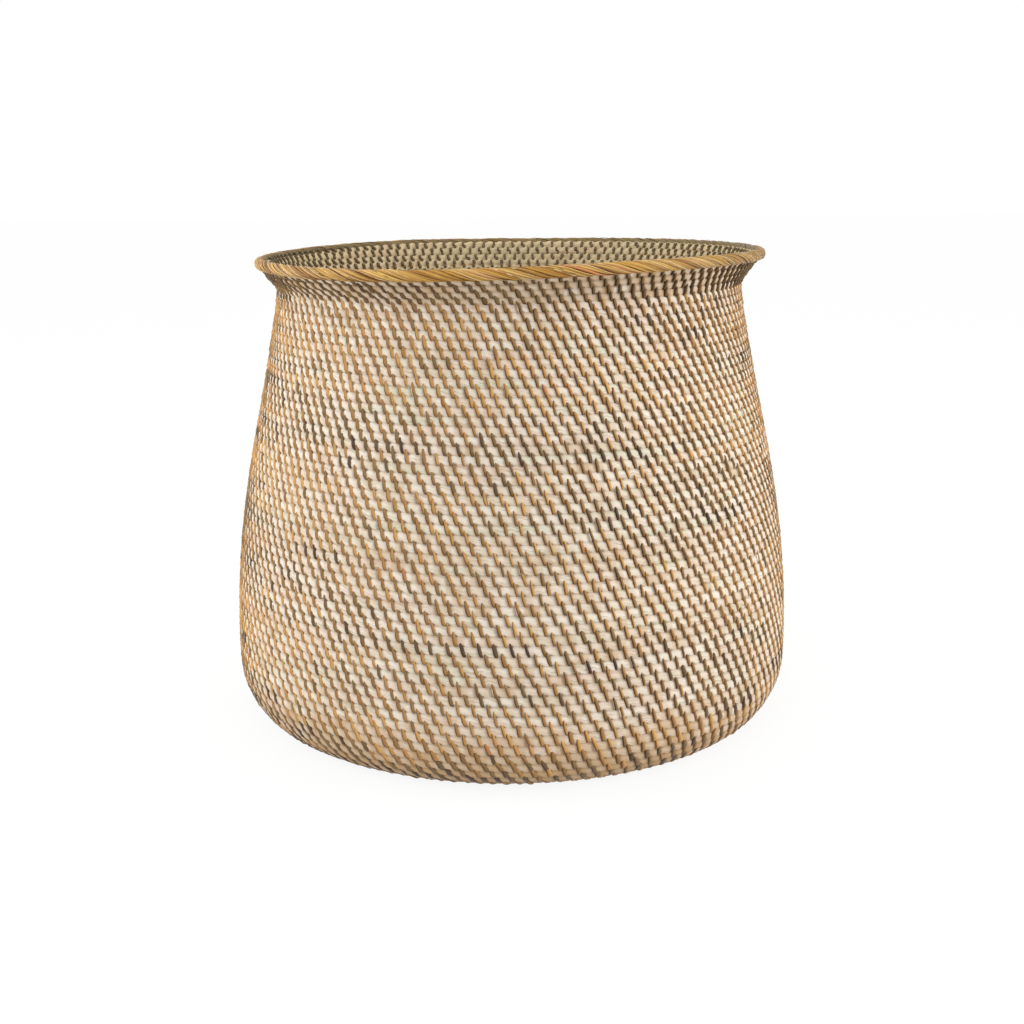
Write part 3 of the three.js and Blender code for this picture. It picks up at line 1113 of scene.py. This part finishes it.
def makeFloor():
    size = studio["floorSize"] / 2
    corners = [(-size, -size, 0), (size, -size, 0), (size, size, 0), (-size, size, 0)]
    mesh = bpy.data.meshes.new("studio_floor")
    mesh.from_pydata(corners, [], [(0, 1, 2, 3)])
    floor = bpy.data.objects.new("studio_floor", mesh)
    bpy.context.scene.collection.objects.link(floor)
    material = bpy.data.materials.new("whiteFloor")
    material.use_nodes = True
    maker = NodeMaker(material.node_tree)
    paint = material.node_tree.nodes["Principled BSDF"]
    seen = seenDirectly(maker)
    dim = studio["floorBounce"]
    bounce = maker.math("MULTIPLY_ADD", seen, 1 - dim, dim)
    grey = maker.add("ShaderNodeCombineColor", {0: bounce, 1: bounce, 2: bounce}).outputs[0]
    material.node_tree.links.new(grey, paint.inputs["Base Color"])
    paint.inputs["Roughness"].default_value = studio["floorRoughness"]
    glow = maker.add("ShaderNodeEmission", {"Color": (1, 1, 1, 1), "Strength": 1.0})
    share = maker.math("MULTIPLY", seen, studio["floorGlow"])
    mix = maker.add("ShaderNodeMixShader", {0: share, 1: paint.outputs[0], 2: glow.outputs[0]})
    output = material.node_tree.nodes["Material Output"]
    material.node_tree.links.new(mix.outputs[0], output.inputs["Surface"])
    mesh.materials.append(material)


def makeWorld():
    world = bpy.data.worlds.new("studioWorld")
    world.use_nodes = True
    bpy.context.scene.world = world
    maker = NodeMaker(world.node_tree)
    background = world.node_tree.nodes["Background"]
    dim = studio["worldStrength"]
    strength = maker.math("MULTIPLY_ADD", seenDirectly(maker), 1 - dim, dim)
    world.node_tree.links.new(strength, background.inputs["Strength"])
    background.inputs["Color"].default_value = (1, 1, 1, 1)


def makeLamp(name, place, target, size, power):
    lamp = bpy.data.lights.new(name, "AREA")
    lamp.size = size
    lamp.energy = power
    piece = bpy.data.objects.new(name, lamp)
    bpy.context.scene.collection.objects.link(piece)
    piece.location = place
    piece.rotation_euler = (Vector(target) - Vector(place)).to_track_quat("-Z", "Y").to_euler()


def makeCamera():
    data = bpy.data.cameras.new("photoCamera")
    data.lens = camera["lens"]
    data.sensor_width = camera["sensor"]
    data.shift_x = camera["shiftX"]
    piece = bpy.data.objects.new("photoCamera", data)
    bpy.context.scene.collection.objects.link(piece)
    turned = Matrix.Rotation(camera["pitch"], 4, "X") @ Matrix.Rotation(camera["roll"], 4, "Z")
    piece.matrix_world = Matrix.Translation(camera["place"]) @ turned
    bpy.context.scene.camera = piece


makeFloor()
makeWorld()
for name, lamp in lamps.items():
    makeLamp(name, **lamp)
makeCamera()
bpy.context.scene.view_settings.view_transform = "Standard"
print("studio made")
